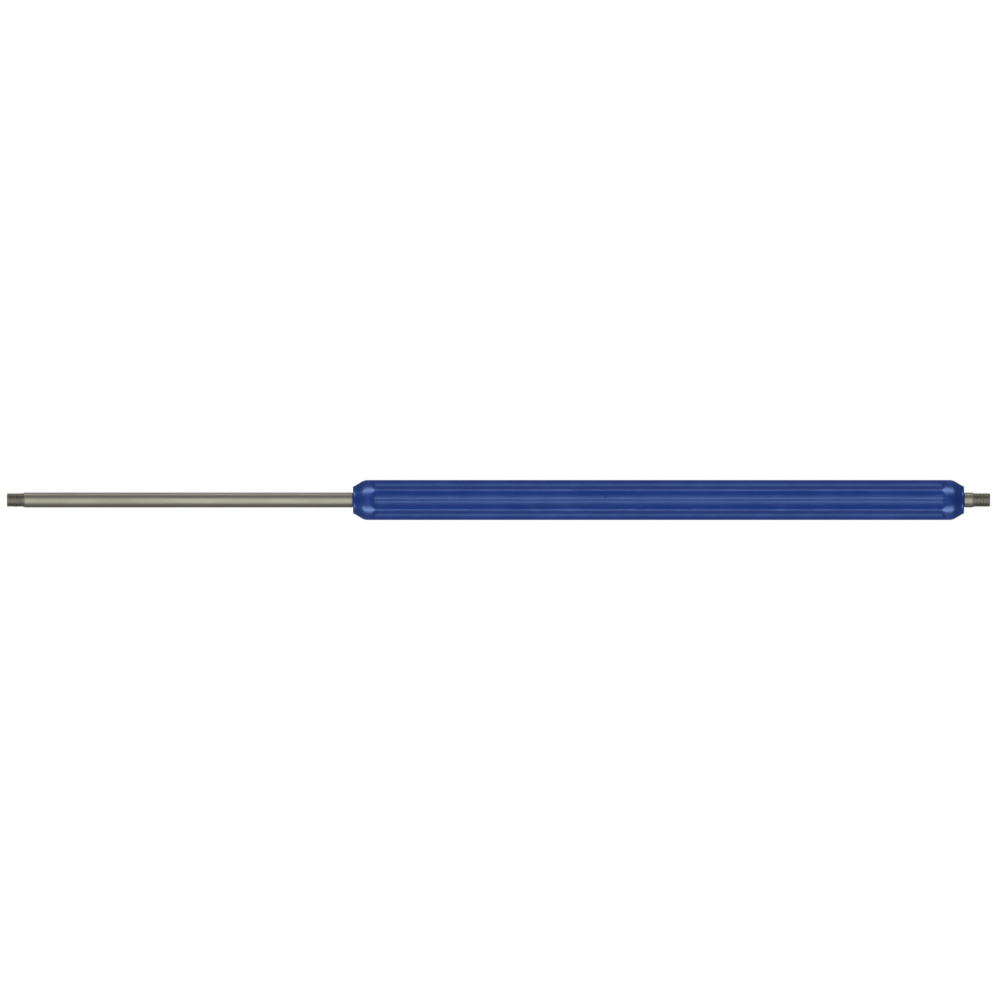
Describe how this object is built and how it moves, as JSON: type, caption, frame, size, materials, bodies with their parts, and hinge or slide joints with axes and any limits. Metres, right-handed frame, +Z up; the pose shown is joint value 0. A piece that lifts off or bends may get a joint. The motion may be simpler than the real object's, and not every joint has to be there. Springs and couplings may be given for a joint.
{
  "type": "pressure washer lance",
  "caption": "Straight steel pressure-washer lance, threaded at both ends, with a long fluted heat-insulating grip that turns on the tube.",
  "frame": {"origin": "centre of the bore at the inlet end face, on the tube's axis", "axes": "+X along the tube out of the inlet end, +Z up; the outlet end face is at X = -0.9 m and the grip's lowest line at Z = -0.0183 m"},
  "size_m": [0.9, 0.0366, 0.0366],
  "materials": {
    "tube": "satin",
    "grip": "semi-gloss",
    "bush": "matte",
    "o_ring": "matte",
    "stop_ring": "oiled spring steel"
  },
  "bodies": {
    "tube": {"lance_tube": "tube", "outlet_stop_ring": "stop_ring", "inlet_stop_ring": "stop_ring"},
    "grip": {"grip_shell_front": "grip", "grip_shell_back": "grip", "outlet_end_bush": "bush", "inlet_end_bush": "bush", "outlet_o_ring": "o_ring", "inlet_o_ring": "o_ring", "outlet_thrust_washer": "bush", "inlet_thrust_washer": "bush", "tube_spacer_1": "bush", "tube_spacer_2": "bush", "tube_spacer_3": "bush", "tube_spacer_4": "bush"}
  },
  "joints": [
    {"name": "grip_turn", "type": "hinge", "parent": "tube", "child": "grip", "pos_m": [-0.3035, 0, 0], "axis": [1, 0, 0], "continuous": true}
  ]
}
